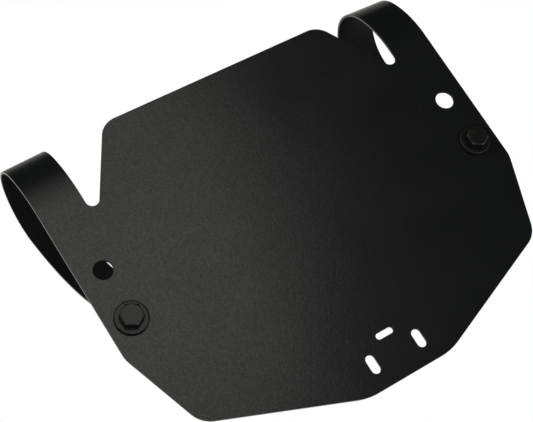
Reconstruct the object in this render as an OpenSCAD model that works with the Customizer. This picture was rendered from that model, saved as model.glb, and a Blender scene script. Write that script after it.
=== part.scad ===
// Racing number board folded from one sheet: a flat many-sided board with a strap at each side.
// Each strap loops back over a handlebar, comes down behind the board and is bolted flat to its back.
// The origin is on the axis of the loops, midway between them. X runs to the right, Z up,
// and the face of the board looks along -Y.

/* [Sheet] */
// Thickness of the sheet
sheet_t = 1.2; // [0.8:0.1:1.6]
// Gap that the springy sheet leaves between the board's back and each lapped strap end
lap_gap = 0.1; // [0.05:0.05:0.3]

/* [Board outline] */
// Width across both straps, at the height where they start to bend back
board_w = 220.8; // [212:0.2:236]
// Height from the bottom edge to the top edge
board_h = 174.6; // [170:0.2:182]
// Width of the top edge, between its sharp corners
top_w = 123.2; // [112:0.2:128]
// Lean of the panel's upper sides from the vertical, in degrees
side_lean = 30.7; // [28:0.1:32]
// Height of the side corners, below which the board tapers in
side_corner_h = 68.2; // [60:0.2:74]
// Height of the lower corners
low_corner_h = 27.5; // [22:0.2:36]
// Distance of the lower corners in from the straps' outer edges
low_corner_inset = 16.3; // [12:0.1:22]
// Width of the bottom edge, between its blunt corners
bottom_w = 46.6; // [44:0.2:60]
// Rounding of the two top corners
top_corner_r = 11; // [4:0.5:16]
// Rounding of the side corners
side_corner_r = 15; // [5:1:30]
// Rounding of the lower corners
low_corner_r = 13; // [5:0.5:20]
// Rounding of the blunt corners of the bottom edge
bottom_corner_r = 30; // [10:1:45]
// Rounding at the bottom of the notch between the panel and each strap
notch_r = 3.3; // [2.4:0.1:3.6]

/* [Straps] */
// Width of each strap
strap_w = 22.2; // [20:0.1:24]
// Outward lean of the straps from the vertical, in degrees
strap_lean = 1.1; // [0:0.1:1.6]
// Tilt of the loops, with their inner ends up, in degrees
loop_tilt = 2; // [0:0.1:2.4]
// Inward lean of the outer edge behind the loop's top, in degrees
tail_lean = 2.8; // [2:0.1:3.4]
// Inward lean of the inner edge behind the loop's top, in degrees
tail_inner_lean = 1.7; // [1.1:0.1:2.4]
// Height of the loops' axis above the bottom edge
loop_axis_h = 161.2; // [158:0.2:164]
// Outer radius of the round part of the loop
round_r = 22.1; // [21:0.1:23]
// Turn of the round part forward of the loop's top, in degrees
round_front_turn = 21.4; // [16:0.1:26]
// Turn of the round part behind the loop's top, in degrees
round_back_turn = 109.5; // [106:0.1:113]
// Outer radius of the crown, between the round part and the shoulder
crown_r = 25.2; // [23:0.1:27]
// Turn of the crown, in degrees
crown_turn = 37.8; // [34:0.1:41]
// Outer radius of the shoulder, where the strap leaves the flat board
shoulder_r = 50; // [46:0.5:54]
// Outer radius of the long curve that comes down behind the board
tail_r = 128; // [120:1:136]
// Radius of the reverse bend that lays the strap's end flat on the board's back
heel_r = 4.5; // [3.5:0.1:6]
// Length of the strap's end past its bolt
tail_past_bolt = 11; // [9:0.5:14]
// Rounding of the corners of the strap's end
tail_corner_r = 6; // [3:0.5:8]

/* [Holes] */
// Diameter of the spare hole in each side of the board
spare_hole_d = 9.4; // [6:0.1:11]
// Distance of the spare holes in from the straps' outer edges
spare_hole_inset = 12.5; // [10:0.1:13]
// Height of the spare holes above the bolts
spare_hole_rise = 25.9; // [22:0.1:32]
// Length of the tie slots, with their round ends
slot_l = 9.3; // [7:0.1:11]
// Width of the middle slot, which lies across the board
mid_slot_w = 3.1; // [2:0.1:4.5]
// Height of the middle slot above the bottom edge
mid_slot_h = 22; // [20:0.1:26]
// Width of the two side slots, which stand upright
side_slot_w = 4.6; // [3:0.1:5.5]
// Distance between the side slots
side_slot_pitch = 25.9; // [20:0.1:32]
// Height of the middle of the side slots above the bottom edge
side_slot_h = 12.3; // [10:0.1:14]

/* [Fasteners] */
// Thread diameter of the bolts
bolt_d = 6; // [5:0.5:6.5]
// Length of the bolts under their heads
bolt_l = 16; // [15:0.5:20]
// Distance of the bolts in from the straps' outer edges
bolt_inset = 12; // [10.5:0.1:12.5]
// Play of the bolts in the holes of the board, the straps and the washers, in diameter
bolt_play = 0.6; // [0.3:0.1:1]
// Play of the bolts in the threads of the nuts, in diameter
thread_play = 0.1; // [0.04:0.02:0.2]
// Width across the flats of the bolt heads
head_af = 10; // [9:0.5:11]
// Height of the bolt heads
head_h = 4; // [3:0.1:5]
// Width across the flats of the nuts
nut_af = 10; // [9:0.5:11]
// Height of the hexagon of the nuts
nut_h = 5; // [4:0.1:6]
// Height of the collar that holds the nuts' locking ring
nut_collar_h = 1.3; // [0.8:0.1:2]
// Diameter of the washers in front, under the bolt heads
front_washer_d = 16; // [14:0.5:18]
// Thickness of the washers in front
front_washer_t = 1.5; // [1:0.1:2]
// Diameter of the washers behind, under the nuts
rear_washer_d = 12; // [11:0.5:14]
// Thickness of the washers behind
rear_washer_t = 1.6; // [1:0.1:2]
// Clearance between the heel bend and the rim of the washer behind
heel_clear = 1.2; // [0.4:0.1:2]

/* [Hidden] */

// Facets of round outlines, and the turn of one facet of the loops' bends, in degrees
$fn = 96;
facet_turn = 3;
// Overrun of cutting and trimming solids past what they cut
over = 5;
// Flat length of each strap, below its first bend, that is drawn with the loop
flat_run = 1.5;

sheet_black = [0.13, 0.13, 0.13];
bolt_black = [0.08, 0.08, 0.085];

// Centres of the crown and the shoulder, as [Y, Z] from the loops' axis.
// Angles are counted forward from the loop's top.
shoulder_start = round_front_turn + crown_turn;
shoulder_turn = 90 - shoulder_start;
crown_c = (crown_r - round_r) * [sin(round_front_turn), -cos(round_front_turn)];
shoulder_c = crown_c + (shoulder_r - crown_r) * [sin(shoulder_start), -cos(shoulder_start)];

function to_hundredths(value) = round(value * 100) / 100;
// Face of the flat board, its back, and the height where the straps start to bend
front_y = to_hundredths(shoulder_c[0] - shoulder_r);
back_y = front_y + sheet_t;
bend_z = to_hundredths(shoulder_c[1]);
root_z = bend_z - flat_run;
// Outer face of the lapped strap end
lap_y = back_y + lap_gap + sheet_t;

// Centre of the long curve, and the turn at which it meets the heel bend: there both
// share a tangent, and the heel bend ends upright with its outer face at lap_y.
tail_c = (tail_r - round_r) * [-sin(round_back_turn), -cos(round_back_turn)];
heel_turn = acos((lap_y + heel_r - tail_c[0]) / (tail_r + heel_r));
tail_turn = 90 + heel_turn - round_back_turn;
lap_z = tail_c[1] - (tail_r + heel_r) * sin(heel_turn);

// Heights of the board's features from the loops' axis
top_z = board_h - loop_axis_h;
bottom_z = -loop_axis_h;
bolt_z = lap_z - rear_washer_d / 2 - heel_clear;
spare_hole_z = bolt_z + spare_hole_rise;
tail_end_z = bolt_z - tail_past_bolt;

// Outer and inner edge of the right strap at a height
function outer_x(z) = board_w / 2 + tan(strap_lean) * (z - bend_z);
function inner_x(z) = outer_x(z) - strap_w;
// The same edges behind the loop's top, whose tilt puts it higher at the inner edge
outer_top_z = round_r / cos(loop_tilt);
inner_top_z = outer_top_z + strap_w * tan(loop_tilt);
function tail_outer_x(z) = outer_x(outer_top_z) - tan(tail_lean) * (outer_top_z - z);
function tail_inner_x(z) = inner_x(inner_top_z) - tan(tail_inner_lean) * (inner_top_z - z);
bolt_x = outer_x(bolt_z) - bolt_inset;
spare_hole_x = outer_x(spare_hole_z) - spare_hole_inset;

// Sharp bottom of the notch: the panel's side meets the strap's inner edge
notch_z = top_z - (inner_x(top_z) - top_w / 2) / (tan(side_lean) + tan(strap_lean));

bolt_hole_d = bolt_d + bolt_play;
nut_bore_d = bolt_d + thread_play;
// Cut corners of the bolt heads and nuts: angle of the cone and its small end against the flats
hex_cone = 30;
hex_cone_top = 0.95;
// Cut edges of the washers and the bolt ends
rim_cut = 0.3;
point_cut = 0.8;
// Diameter of the nut's collar, as a share of its flats
collar_share = 0.92;

// Corner at p between its neighbours a and b, rounded with radius r. The outline runs
// anticlockwise, so a corner that bulges out turns left and a notch's bottom turns right.
function unit(v) = v / norm(v);
function half_angle(a, p, b) = acos(unit(a - p) * unit(b - p)) / 2;
function side_turn(a, p, b) = sign(cross(p - a, b - p)) * (180 - 2 * half_angle(a, p, b));
function corner_centre(a, p, b, r) = p + unit(unit(a - p) + unit(b - p)) * r / sin(half_angle(a, p, b));
function corner_start(a, p, b, r) = p + unit(a - p) * r / tan(half_angle(a, p, b));
function turned(v, angle) = [v[0] * cos(angle) - v[1] * sin(angle), v[0] * sin(angle) + v[1] * cos(angle)];
function corner_points(a, p, b, r) = r == 0 ? [p]
    : let (turn = side_turn(a, p, b), steps = ceil(abs(turn) / facet_turn),
        centre = corner_centre(a, p, b, r), spoke = corner_start(a, p, b, r) - centre)
        [for (i = [0:steps]) centre + turned(spoke, turn * i / steps)];

// Outline drawn anticlockwise, with its own radius at each corner
module rounded_outline(points, radii) {
    n = len(points);
    polygon([for (i = [0:n - 1])
        each corner_points(points[(i + n - 1) % n], points[i], points[(i + 1) % n], radii[i])]);
}

// Stands a drawing of the front view up, with its extrusion running from y_front to y_back
module from_front(y_front, y_back) {
    translate([0, y_back, 0])
        rotate([90, 0, 0])
            linear_extrude(y_back - y_front)
                children();
}

function mirrored(points) = [for (i = [len(points) - 1:-1:0]) [-points[i][0], points[i][1]]];
function reversed(list) = [for (i = [len(list) - 1:-1:0]) list[i]];

// Flat board with the straps up to where the loops are drawn on
module board_outline() {
    right = [
        [bottom_w / 2, bottom_z],
        [board_w / 2 - low_corner_inset, bottom_z + low_corner_h],
        [outer_x(bottom_z + side_corner_h), bottom_z + side_corner_h],
        [outer_x(root_z), root_z],
        [inner_x(root_z), root_z],
        [inner_x(notch_z), notch_z],
        [top_w / 2, top_z]
    ];
    radii = [bottom_corner_r, low_corner_r, side_corner_r, 0, 0, notch_r, top_corner_r];
    rounded_outline(concat(right, mirrored(right)), concat(radii, reversed(radii)));
}

module slot(width, turn) {
    rotate(turn) {
        square([slot_l - width, width], center = true);
        for (side = [-1, 1])
            translate([side * (slot_l - width) / 2, 0])
                circle(d = width);
    }
}

module board_holes() {
    for (side = [-1, 1]) {
        translate([side * spare_hole_x, spare_hole_z])
            circle(d = spare_hole_d);
        translate([side * side_slot_pitch / 2, bottom_z + side_slot_h])
            slot(side_slot_w, 90);
    }
    translate([0, bottom_z + mid_slot_h])
        slot(mid_slot_w, 0);
}

// Side view of a strap, with Y to the right and Z up. A heading is the way in which the sheet
// runs, in degrees from straight up, growing as it turns back. Each bend is its centre, the
// radius of the sheet's outer face, and its first and last heading; a reverse bend has a
// negative radius.
function inward(heading) = [cos(heading), -sin(heading)];
function bend(centre, r, first, last) = [centre, r, first, last];
function bend_steps(b) = ceil(abs(b[3] - b[2]) / facet_turn);
function on_bend(b, depth, heading) = b[0] - (b[1] - depth) * inward(heading);
// Points along a bend after its first one, at a depth below the outer face
function bend_points(b, depth) =
    [for (i = [1:bend_steps(b)]) on_bend(b, depth, b[2] + (b[3] - b[2]) * i / bend_steps(b))];

module strap_profile() {
    heel_c = on_bend(bend(tail_c, tail_r, 0, 0), -heel_r, 180 + heel_turn);
    bends = [
        bend(shoulder_c, shoulder_r, 0, shoulder_turn),
        bend(crown_c, crown_r, shoulder_turn, shoulder_turn + crown_turn),
        bend([0, 0], round_r, 90 - round_front_turn, 90 + round_back_turn),
        bend(tail_c, tail_r, 90 + round_back_turn, 180 + heel_turn),
        bend(heel_c, -heel_r, 180 + heel_turn, 180)
    ];
    outer = [for (b = bends) each bend_points(b, 0)];
    inner = [for (b = bends) each bend_points(b, sheet_t)];
    ends = [root_z - over, tail_end_z - over];
    polygon(concat([[front_y, ends[0]], [front_y, bend_z]], outer,
        [[lap_y, ends[1]], [lap_y - sheet_t, ends[1]]], reversed(inner),
        [[back_y, bend_z], [back_y, ends[0]]]));
}

// Front views of the right strap: in front of the loop's top, and behind it
strip_top_z = inner_top_z + over;
module front_strip() {
    polygon([[inner_x(root_z), root_z], [outer_x(root_z), root_z],
        [outer_x(strip_top_z), strip_top_z], [inner_x(strip_top_z), strip_top_z]]);
}

module tail_strip() {
    rounded_outline(
        [[tail_inner_x(tail_end_z), tail_end_z], [tail_outer_x(tail_end_z), tail_end_z],
            [tail_outer_x(strip_top_z), strip_top_z], [tail_inner_x(strip_top_z), strip_top_z]],
        [tail_corner_r, tail_corner_r, 0, 0]);
}

// The profile drawn out across the strap and tilted, with the height of its outer edge kept
module tilted_loop() {
    pivot = [outer_x(outer_top_z), front_y + sheet_t / 2, 0];
    translate(pivot)
        rotate([0, loop_tilt, 0])
            translate(-pivot)
                rotate([90, 0, 90])
                    linear_extrude(board_w)
                        strap_profile();
}

module right_strap() {
    intersection() {
        tilted_loop();
        union() {
            from_front(front_y - over, 0)
                front_strip();
            difference() {
                from_front(back_y + lap_gap / 2, round_r + over)
                    tail_strip();
                translate([0, front_y - over, root_z])
                    cube([board_w, over - front_y, strip_top_z + over - root_z]);
            }
        }
    }
}

module both_sides() {
    children();
    mirror([1, 0, 0])
        children();
}

module number_board() {
    color(sheet_black)
        difference() {
            union() {
                from_front(front_y, back_y)
                    difference() {
                        board_outline();
                        board_holes();
                    }
                both_sides()
                    right_strap();
            }
            both_sides()
                translate([bolt_x, lap_y + over, bolt_z])
                    rotate([90, 0, 0])
                        cylinder(d = bolt_hole_d, h = lap_y - front_y + 2 * over);
        }
}

// Puts a fastener on its bolt's axis, drawn with Z forward and the board's face at Z = 0
module at_bolt(side) {
    translate([side * bolt_x, front_y, bolt_z])
        rotate([90, 0, 0])
            children();
}

// Depth of the lapped sheets behind the board's face
lap_depth = lap_y - front_y;

// Hexagon with its corners cut by a cone at its upper end
module cut_hexagon(af, height) {
    intersection() {
        rotate(30)
            cylinder(d = af / cos(30), h = height, $fn = 6);
        cylinder(r1 = af / 2 * hex_cone_top + height / tan(hex_cone), r2 = af / 2 * hex_cone_top, h = height);
    }
}

module bolt(side) {
    color(bolt_black)
        at_bolt(side)
            translate([0, 0, front_washer_t]) {
                cut_hexagon(head_af, head_h);
                translate([0, 0, point_cut - bolt_l])
                    cylinder(d = bolt_d, h = bolt_l - point_cut);
                translate([0, 0, -bolt_l])
                    cylinder(d1 = bolt_d - 2 * point_cut, d2 = bolt_d, h = point_cut);
            }
}

module washer(diameter, thickness) {
    difference() {
        union() {
            cylinder(d = diameter, h = thickness - rim_cut);
            translate([0, 0, thickness - rim_cut])
                cylinder(d1 = diameter, d2 = diameter - 2 * rim_cut, h = rim_cut);
        }
        translate([0, 0, -over])
            cylinder(d = bolt_hole_d, h = thickness + 2 * over);
    }
}

module front_washer(side) {
    color(bolt_black)
        at_bolt(side)
            washer(front_washer_d, front_washer_t);
}

module rear_washer(side) {
    color(bolt_black)
        at_bolt(side)
            translate([0, 0, -lap_depth])
                mirror([0, 0, 1])
                    washer(rear_washer_d, rear_washer_t);
}

module lock_nut(side) {
    color(bolt_black)
        at_bolt(side)
            translate([0, 0, -lap_depth - rear_washer_t])
                mirror([0, 0, 1])
                    difference() {
                        union() {
                            cut_hexagon(nut_af, nut_h);
                            cylinder(d = nut_af * collar_share, h = nut_h + nut_collar_h - rim_cut);
                            translate([0, 0, nut_h + nut_collar_h - rim_cut])
                                cylinder(d1 = nut_af * collar_share, d2 = nut_af * collar_share - 2 * rim_cut,
                                    h = rim_cut);
                        }
                        translate([0, 0, -over])
                            cylinder(d = nut_bore_d, h = nut_h + nut_collar_h + 2 * over);
                    }
}

module left_bolt() { bolt(-1); }
module right_bolt() { bolt(1); }
module left_front_washer() { front_washer(-1); }
module right_front_washer() { front_washer(1); }
module left_rear_washer() { rear_washer(-1); }
module right_rear_washer() { rear_washer(1); }
module left_nut() { lock_nut(-1); }
module right_nut() { lock_nut(1); }

number_board();
left_bolt();
right_bolt();
left_front_washer();
right_front_washer();
left_rear_washer();
right_rear_washer();
left_nut();
right_nut();
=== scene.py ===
"""Racing number board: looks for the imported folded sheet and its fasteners."""
import bmesh
import bpy
import math
from mathutils import Matrix, Vector


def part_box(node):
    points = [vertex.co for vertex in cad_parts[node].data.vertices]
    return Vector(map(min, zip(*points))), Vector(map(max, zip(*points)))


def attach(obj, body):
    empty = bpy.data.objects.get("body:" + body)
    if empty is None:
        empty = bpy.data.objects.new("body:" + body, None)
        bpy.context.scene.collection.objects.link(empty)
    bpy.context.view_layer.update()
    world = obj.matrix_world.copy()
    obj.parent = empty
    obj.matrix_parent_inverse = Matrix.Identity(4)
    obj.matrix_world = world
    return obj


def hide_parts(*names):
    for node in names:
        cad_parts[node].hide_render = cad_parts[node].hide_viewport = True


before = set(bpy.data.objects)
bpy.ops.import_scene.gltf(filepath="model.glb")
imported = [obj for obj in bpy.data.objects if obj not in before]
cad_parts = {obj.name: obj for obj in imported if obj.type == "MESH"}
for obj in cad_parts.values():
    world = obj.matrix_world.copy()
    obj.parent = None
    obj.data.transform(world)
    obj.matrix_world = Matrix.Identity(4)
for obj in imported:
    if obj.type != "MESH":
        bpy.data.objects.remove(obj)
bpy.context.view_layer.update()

MM = 0.001

# Camera: where it stands, and its own axes, which match the photograph's view of the board
CAMERA_PLACE = Vector((-0.2126, -0.5359, -0.2179))
CAMERA_RIGHT = Vector((0.8371, -0.1636, -0.5220))
CAMERA_UP = Vector((0.4230, -0.4113, 0.8074))
CAMERA_RANGE = (0.01, 50)
SENSOR = 36.0
LENS = 81.78

# Rounding of the cut edges, for the sheet and for each kind of fastener
SHEET_EDGE = 0.12 * MM
STEEL_EDGES = {"bolt": 0.26 * MM, "front_washer": 0.4 * MM, "rear_washer": 0.15 * MM, "nut": 0.15 * MM}
EDGE_STEPS = 3
# Edges that turn by more than this are cut edges; less is a bend
CUT_ANGLE = math.radians(25)
# Points closer than this are joined, and faces that turn by less than this become one
WELD = 0.06 * MM
FLAT = math.radians(0.3)

# Folded sheet: the flat board's front and thickness, how low the straps' ends reach, and a point
# that the back of the sheet faces everywhere along a loop, as depth and height
BOARD_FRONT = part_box("left_front_washer")[1].y
SHEET_T = 1.2 * MM
TAIL_END = -89.03 * MM
LOOP_MIDDLE = (-8 * MM, -20 * MM)

# Thread of a bolt: a V groove that would end sharp at the sharp depth, and is cut off flat before it;
# its half width is a share of the pitch, and the steps around and along are those of one turn
THREAD_R = 3.0 * MM
THREAD_PITCH = 1.0 * MM
THREAD_START = -29.0 * MM
THREAD_AROUND = 48
THREAD_ALONG = 10
GROOVE_DEPTH = 0.45 * MM
GROOVE_SHARP_DEPTH = 0.504 * MM
GROOVE_HALF = 0.42
BOLT_POINT = 0.8 * MM

# Places in a piece's list of materials; the first one, 0, is for every other face
# Cut walls of the sheet: a darker, duller copy of its material, as painted shade
SHADED_CUT_WALL = 1
# Back of the sheet: a darker, duller copy of its material, as painted shade inside the loops
SHADED_BACK_SIDE = 2
# Sides of a fastener: a darker, duller copy of its steel, as painted shade
SHADED_STEEL_SIDE = 1

# Most values of a noise lie in this range
NOISE_RANGE = (0.3, 0.7)

# Finish of the sheet: scales are in cells a metre, and the dust's size and share are of its cells
CLOUD_SCALE = 35.0
GLOSS_CLOUD_SCALE = 60.0
WAVE_SCALE = 9.0
WAVE_HEIGHT = 0.6 * MM
GRAIN_SCALE = 1100.0
GRAIN_STRENGTH = 0.5
DUST_SCALE = 60.0
DUST_SIZE = 0.016
DUST_SHARE = 0.07
DUST_COLOR = (0.10, 0.10, 0.095, 1)
SHEET_IOR = 1.56
SHEET_ROUGHNESS_SPREAD = 0.03
SHEEN_SPREAD = 0.22

# Finish of the fasteners
STEEL_CLOUD_SCALE = 400.0
STEEL_GLOSS_SCALE = 700.0
STEEL_IOR = 1.5
STEEL_ROUGHNESS_SPREAD = 0.06

# Studio: the world's strength as a light, the floor, the dome that surfaces mirror, and the lamp
WORLD_LIGHT = 0.35
FLOOR_LEVEL = -0.62
FLOOR_HALF = 30.0
FLOOR_TONE = 0.85
FLOOR_ROUGHNESS = 0.8
FLOOR_GLOW = 0.6
DOME_RADIUS = 12.0
DOME_STEP = 2
DOME_TINT = (1, 1, 0.94, 1)
LAMP_PLACE = Vector((-1.6, -0.9, 0.9))
LAMP_AIM = Vector((0, 0, -0.07))
LAMP_SIZE = (0.6, 0.9)
LAMP_POWER = 10


def make_camera():
    data = bpy.data.cameras.new("camera")
    data.sensor_fit = "HORIZONTAL"
    data.sensor_width = SENSOR
    data.lens = LENS
    data.clip_start, data.clip_end = CAMERA_RANGE
    camera = bpy.data.objects.new("camera", data)
    right = CAMERA_RIGHT.normalized()
    back = right.cross(CAMERA_UP).normalized()
    up = back.cross(right)
    turn = Matrix((right, up, back)).transposed().to_4x4()
    camera.matrix_world = Matrix.Translation(CAMERA_PLACE) @ turn
    bpy.context.scene.collection.objects.link(camera)
    bpy.context.scene.camera = camera


def new_object(name, data):
    piece = bpy.data.objects.new(name, data)
    bpy.context.scene.collection.objects.link(piece)
    return piece


def smooth_shading(mesh):
    for face in mesh.polygons:
        face.use_smooth = True


def softened(node, name, width):
    """A piece in the form of a CAD node, with its cut edges rounded, which stands for that node."""
    bm = bmesh.new()
    bm.from_mesh(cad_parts[node].data)
    low = [min(v.co[i] for v in bm.verts) for i in range(3)]
    high = [max(v.co[i] for v in bm.verts) for i in range(3)]
    bmesh.ops.remove_doubles(bm, verts=bm.verts, dist=WELD)
    bmesh.ops.dissolve_limit(bm, angle_limit=FLAT, verts=bm.verts, edges=bm.edges)
    cut = [e for e in bm.edges if len(e.link_faces) == 2 and e.calc_face_angle() > CUT_ANGLE]
    bmesh.ops.bevel(bm, geom=cut, offset=width, offset_type="OFFSET", segments=EDGE_STEPS,
                    profile=0.5, affect="EDGES", clamp_overlap=False)
    # The rounding stays inside the node's own box
    for vert in bm.verts:
        vert.co = [min(max(vert.co[i], low[i]), high[i]) for i in range(3)]
    mesh = bpy.data.meshes.new(name)
    bm.to_mesh(mesh)
    bm.free()
    smooth_shading(mesh)
    piece = new_object(name, mesh)
    # Large faces set the shading, so that flat sheet looks flat up to its rounded edges
    weigh = piece.modifiers.new("even_shading", "WEIGHTED_NORMAL")
    weigh.weight = 100
    weigh.keep_sharp = True
    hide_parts(node)
    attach(piece, "root")
    return piece


def cut_thread(piece, node):
    """Puts a thread in place of a bolt's smooth shank."""
    low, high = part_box(node)
    axis_x, axis_z = (low.x + high.x) / 2, (low.z + high.z) / 2
    end = high.y
    bm = bmesh.new()
    bm.from_mesh(piece.data)
    # The head ends in front of the board, so only faces of the shank reach the board
    shank = [f for f in bm.faces if any(v.co.y > BOARD_FRONT - 0.1 * MM for v in f.verts)]
    bmesh.ops.delete(bm, geom=shank, context="FACES")
    steps = int((end - THREAD_START) / (THREAD_PITCH / THREAD_ALONG))
    rings = []
    for j in range(steps + 1):
        y = THREAD_START + (end - THREAD_START) * j / steps
        widest = THREAD_R - max(0, y - (end - BOLT_POINT))
        ring = []
        for i in range(THREAD_AROUND):
            turn = i / THREAD_AROUND
            phase = (y / THREAD_PITCH - turn) % 1
            groove = max(0, 1 - abs(phase - 0.5) / GROOVE_HALF)
            r = max(min(widest, THREAD_R - GROOVE_SHARP_DEPTH * groove), THREAD_R - GROOVE_DEPTH)
            a = 2 * math.pi * turn
            ring.append(bm.verts.new((axis_x + r * math.cos(a), y, axis_z + r * math.sin(a))))
        rings.append(ring)
    for first, second in zip(rings, rings[1:]):
        for i in range(THREAD_AROUND):
            k = (i + 1) % THREAD_AROUND
            bm.faces.new((first[i], second[i], second[k], first[k]))
    bm.faces.new(rings[-1])
    bmesh.ops.recalc_face_normals(bm, faces=bm.faces)
    bm.to_mesh(piece.data)
    bm.free()
    smooth_shading(piece.data)


class Nodes:
    """Short calls for building a node tree; all but add and link give an output socket."""

    def __init__(self, tree):
        self.tree = tree

    def add(self, kind, **values):
        node = self.tree.nodes.new(kind)
        for key, value in values.items():
            if key in node.inputs:
                node.inputs[key].default_value = value
            else:
                setattr(node, key, value)
        return node

    def link(self, start, end):
        self.tree.links.new(start, end)

    def calculate(self, operation, first, second):
        """The second value is a socket or a number."""
        node = self.add("ShaderNodeMath", operation=operation)
        self.link(first, node.inputs[0])
        if isinstance(second, (int, float)):
            node.inputs[1].default_value = second
        else:
            self.link(second, node.inputs[1])
        return node.outputs[0]

    def noise(self, place, scale, detail):
        node = self.add("ShaderNodeTexNoise", Scale=scale, Detail=detail)
        self.link(place, node.inputs["Vector"])
        return node.outputs["Fac"]

    def spread(self, value, low, high, start=0.0, end=1.0):
        """Maps start to end onto low to high."""
        node = self.add("ShaderNodeMapRange", **{"From Min": start, "From Max": end,
                                                 "To Min": low, "To Max": high})
        self.link(value, node.inputs["Value"])
        return node.outputs["Result"]

    def tones(self, value, low, high):
        """A colour between two tones, by the value of a noise."""
        node = self.add("ShaderNodeValToRGB")
        for element, position, color in zip(node.color_ramp.elements, NOISE_RANGE, (low, high)):
            element.position = position
            element.color = (*color, 1)
        self.link(value, node.inputs["Fac"])
        return node.outputs["Color"]

    def seen_rays(self):
        """1 for a ray from the camera, a reflection or a transmission, and 0 for light on the object."""
        path = self.add("ShaderNodeLightPath").outputs
        seen = self.calculate("MAXIMUM", path["Is Camera Ray"], path["Is Glossy Ray"])
        return self.calculate("MAXIMUM", seen, path["Is Transmission Ray"])


def new_material(name):
    material = bpy.data.materials.new(name)
    material.use_nodes = True
    nodes = Nodes(material.node_tree)
    return material, nodes, material.node_tree.nodes["Principled BSDF"]


def dust_specks(n, place):
    """1 on a few small specks of the sheet and 0 elsewhere, laid out over its front view."""
    split = n.add("ShaderNodeSeparateXYZ")
    n.link(place, split.inputs[0])
    flat = n.add("ShaderNodeCombineXYZ")
    n.link(split.outputs["X"], flat.inputs["X"])
    n.link(split.outputs["Z"], flat.inputs["Y"])
    cells = n.add("ShaderNodeTexVoronoi", voronoi_dimensions="2D", Scale=DUST_SCALE)
    n.link(flat.outputs[0], cells.inputs["Vector"])
    near = n.calculate("LESS_THAN", cells.outputs["Distance"], DUST_SIZE)
    parts = n.add("ShaderNodeSeparateColor")
    n.link(cells.outputs["Color"], parts.inputs["Color"])
    few = n.calculate("GREATER_THAN", parts.outputs["Red"], 1 - DUST_SHARE)
    return n.calculate("MULTIPLY", near, few)


def sheet_material(name, low, high, roughness, grain_height, gloss=0.5):
    """Black sheet: a cloudy tone, a fine grain, a slight waviness and a few specks of dust."""
    material, n, shader = new_material(name)
    place = n.add("ShaderNodeTexCoord").outputs["Object"]
    paint = n.add("ShaderNodeMix", data_type="RGBA")
    n.link(dust_specks(n, place), paint.inputs["Factor"])
    n.link(n.tones(n.noise(place, CLOUD_SCALE, 3.0), low, high), paint.inputs["A"])
    paint.inputs["B"].default_value = DUST_COLOR
    n.link(paint.outputs["Result"], shader.inputs["Base Color"])

    cloud = n.noise(place, GLOSS_CLOUD_SCALE, 4.0)
    n.link(n.spread(cloud, roughness - SHEET_ROUGHNESS_SPREAD, roughness + SHEET_ROUGHNESS_SPREAD),
           shader.inputs["Roughness"])
    grain = n.noise(place, GRAIN_SCALE, 2.0)
    sheen = n.spread(grain, gloss * (1 - SHEEN_SPREAD), gloss * (1 + SHEEN_SPREAD), *NOISE_RANGE)
    n.link(sheen, shader.inputs["Specular IOR Level"])
    shader.inputs["IOR"].default_value = SHEET_IOR

    waves = n.add("ShaderNodeBump", Strength=1.0, Distance=WAVE_HEIGHT)
    n.link(n.noise(place, WAVE_SCALE, 1.0), waves.inputs["Height"])
    bump = n.add("ShaderNodeBump", Strength=GRAIN_STRENGTH, Distance=grain_height)
    n.link(grain, bump.inputs["Height"])
    n.link(waves.outputs["Normal"], bump.inputs["Normal"])
    n.link(bump.outputs["Normal"], shader.inputs["Normal"])
    return material


def steel_material(name, low, high, roughness, gloss):
    """Blackened steel with a faint cloudiness."""
    material, n, shader = new_material(name)
    place = n.add("ShaderNodeTexCoord").outputs["Object"]
    n.link(n.tones(n.noise(place, STEEL_CLOUD_SCALE, 4.0), low, high), shader.inputs["Base Color"])
    cloud = n.noise(place, STEEL_GLOSS_SCALE, 3.0)
    n.link(n.spread(cloud, roughness - STEEL_ROUGHNESS_SPREAD, roughness + STEEL_ROUGHNESS_SPREAD),
           shader.inputs["Roughness"])
    shader.inputs["IOR"].default_value = STEEL_IOR
    shader.inputs["Specular IOR Level"].default_value = gloss
    return material


def paint_sheet(mesh):
    """Gives the sheet's back, and its cut walls with their roundings, materials of their own: darker,
    duller copies of the sheet's material, as painted shade.
    """
    for face in mesh.polygons:
        nx, ny, nz = face.normal
        _, y, z = face.center
        # The back of the sheet gets painted shade: a darker, duller copy of its material
        if ny * (LOOP_MIDDLE[0] - y) + nz * (LOOP_MIDDLE[1] - z) > 0:
            face.material_index = SHADED_BACK_SIDE
        # A cut wall faces sideways, stands in the flat board or closes a strap's end; it gets painted
        # shade, a darker copy of the sheet's material
        in_board = BOARD_FRONT - WELD < y < BOARD_FRONT + SHEET_T + WELD and abs(ny) < 0.9
        at_tail_end = z < TAIL_END + SHEET_EDGE and abs(nz) > 0.5
        if abs(nx) > 0.3 or in_board or at_tail_end:
            face.material_index = SHADED_CUT_WALL


def paint_steel(mesh):
    """Gives a fastener's sides a darker, duller copy of its steel than its front faces have: painted
    shade on the sides.
    """
    for face in mesh.polygons:
        if abs(face.normal.y) < 0.8:
            face.material_index = SHADED_STEEL_SIDE


def make_board():
    board = softened("number_board", "board_sheet", SHEET_EDGE)
    board.data.materials.append(sheet_material(
        "sheet_face", low=(0.0092, 0.0112, 0.0104), high=(0.0120, 0.0140, 0.0130),
        roughness=0.18, grain_height=0.04 * MM))
    # Cut walls: the sheet's material darker and a little rougher, as painted shade on the walls
    board.data.materials.append(sheet_material(
        "sheet_cut_wall_shade", low=(0.0060, 0.0066, 0.0060), high=(0.0110, 0.0116, 0.0104),
        roughness=0.22, grain_height=0.03 * MM))
    # Back of the sheet: darker, rougher and with little gloss, as painted shade inside the loops
    board.data.materials.append(sheet_material(
        "sheet_back_shade", low=(0.0080, 0.0094, 0.0088), high=(0.0110, 0.0126, 0.0118),
        roughness=0.5, grain_height=0.05 * MM, gloss=0.08))
    paint_sheet(board.data)


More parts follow.
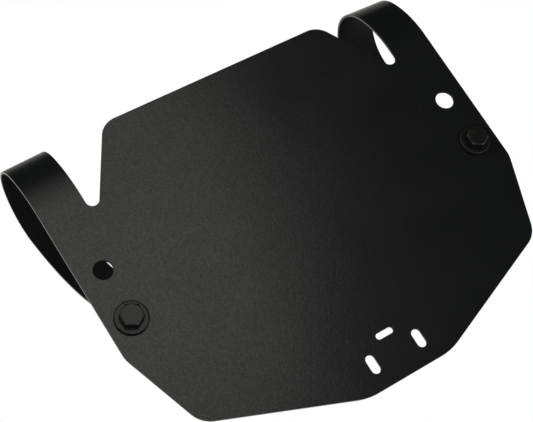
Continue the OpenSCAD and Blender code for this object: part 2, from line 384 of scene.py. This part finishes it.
def make_fasteners():
    face_steel = steel_material("black_steel", low=(0.0080, 0.0092, 0.0080), high=(0.0165, 0.0180, 0.0150),
                          roughness=0.22, gloss=0.46)
    # Sides: the steel darker, rougher and with little gloss, as painted shade
    shaded_side_steel = steel_material("steel_side_shade", low=(0.0030, 0.0034, 0.0032), high=(0.0060, 0.0066, 0.0060),
                          roughness=0.42, gloss=0.12)
    for side in ("left", "right"):
        for kind, width in STEEL_EDGES.items():
            node = f"{side}_{kind}"
            piece = softened(node, f"{node}_steel", width)
            if kind == "bolt":
                cut_thread(piece, node)
            piece.data.materials.append(face_steel)
            piece.data.materials.append(shaded_side_steel)
            paint_steel(piece.data)


def make_world():
    """White where it is looked at, straight or by a reflection, and dimmer as a light."""
    world = bpy.data.worlds.new("studio")
    bpy.context.scene.world = world
    world.use_nodes = True
    n = Nodes(world.node_tree)
    ground = world.node_tree.nodes["Background"]
    ground.inputs["Color"].default_value = (1, 1, 1, 1)
    n.link(n.spread(n.seen_rays(), WORLD_LIGHT, 1.0), ground.inputs["Strength"])


def make_floor():
    """A pale floor that glows only to what looks at it, so that it keeps the object's shadow."""
    corners = ((-1, -1), (1, -1), (1, 1), (-1, 1))
    mesh = bpy.data.meshes.new("floor")
    mesh.from_pydata([(x * FLOOR_HALF, y * FLOOR_HALF, FLOOR_LEVEL) for x, y in corners],
                     [], [range(len(corners))])
    floor = new_object("floor", mesh)
    material, n, shader = new_material("pale_floor")
    shader.inputs["Base Color"].default_value = (FLOOR_TONE, FLOOR_TONE, FLOOR_TONE, 1)
    shader.inputs["Roughness"].default_value = FLOOR_ROUGHNESS
    shader.inputs["Emission Color"].default_value = (1, 1, 1, 1)
    n.link(n.calculate("MULTIPLY", n.seen_rays(), FLOOR_GLOW), shader.inputs["Emission Strength"])
    mesh.materials.append(material)


def ramp(value, start, end):
    """0 at the start, 1 at the end, and straight between."""
    return min(max((value - start) / (end - start), 0), 1)


def studio_brightness(x, y, z):
    """Brightness of the studio in a direction from the object; angles are in degrees from its front."""
    azimuth = math.degrees(math.atan2(x, -y))
    elevation = math.degrees(math.asin(z))
    pitch = math.degrees(math.atan2(z, -y))
    if y < 0:
        # In front: bright from the horizon up, fading overhead, and dark right of a slanted edge
        above = ramp(pitch, 1, 10)
        low_left = 0.5 * ramp(-azimuth, 25, 55) * ramp(pitch, -50, -10)
        fade = 1 - 0.97 * ramp(pitch, 17, 62)
        right = 1 - 0.98 * ramp(azimuth - 15.2 - 0.45 * min(elevation, 15), -1.5, 1.5)
        return max(max(above, low_left) * fade * right, 0.01)
    if z < 0:
        # Behind and below: brighter at the horizon and at both sides
        sides = ramp(abs(x), 0.3, 0.85) * ramp(z, -0.7, -0.1)
        return 0.1 + 0.45 * ramp(z, -0.3, 0) + 0.4 * sides
    # Behind and above: brighter down the back, most of all on the left
    back = 0.5 * ramp(pitch, 98, 150)
    right = 0.12 * ramp(x, 0.24, 0.5) * ramp(pitch, 88, 98)
    left = 0.45 * ramp(-x, -0.1, 0.4) * ramp(pitch, 120, 150)
    return min(0.03 + back + right + left, 1)


def make_dome():
    """The studio as the surfaces mirror it; it neither shows in the picture nor lights anything."""
    points, light, faces = [], [], []
    around, up = 360 // DOME_STEP, 180 // DOME_STEP
    for row in range(up + 1):
        e = math.radians(-90 + row * DOME_STEP)
        for column in range(around):
            a = math.radians(column * DOME_STEP)
            way = (math.sin(a) * math.cos(e), -math.cos(a) * math.cos(e), math.sin(e))
            points.append([c * DOME_RADIUS for c in way])
            light.append(studio_brightness(*way))
    for row in range(up):
        for column in range(around):
            after = (column + 1) % around
            faces.append((row * around + column, row * around + after,
                          (row + 1) * around + after, (row + 1) * around + column))
    mesh = bpy.data.meshes.new("studio_dome")
    mesh.from_pydata(points, [], faces)
    shade = mesh.attributes.new("brightness", "FLOAT", "POINT")
    shade.data.foreach_set("value", light)
    material, n, shader = new_material("studio_light")
    material.node_tree.nodes.remove(shader)
    read = n.add("ShaderNodeAttribute", attribute_name="brightness")
    glow = n.add("ShaderNodeEmission", Color=DOME_TINT)
    n.link(read.outputs["Fac"], glow.inputs["Strength"])
    n.link(glow.outputs["Emission"], material.node_tree.nodes["Material Output"].inputs["Surface"])
    mesh.materials.append(material)
    dome = new_object("studio_dome", mesh)
    dome.visible_camera = False
    dome.visible_diffuse = False
    dome.visible_shadow = False


def make_lamp():
    """A soft lamp high on the left."""
    data = bpy.data.lights.new("side_softbox", "AREA")
    data.shape = "RECTANGLE"
    data.size, data.size_y = LAMP_SIZE
    data.energy = LAMP_POWER
    lamp = new_object("side_softbox", data)
    lamp.location = LAMP_PLACE
    lamp.rotation_mode = "QUATERNION"
    lamp.rotation_quaternion = (LAMP_AIM - LAMP_PLACE).to_track_quat("-Z", "Y")


make_camera()
make_world()
make_floor()
make_dome()
make_lamp()
make_board()
make_fasteners()

scene = bpy.context.scene
scene.view_settings.view_transform = "Standard"
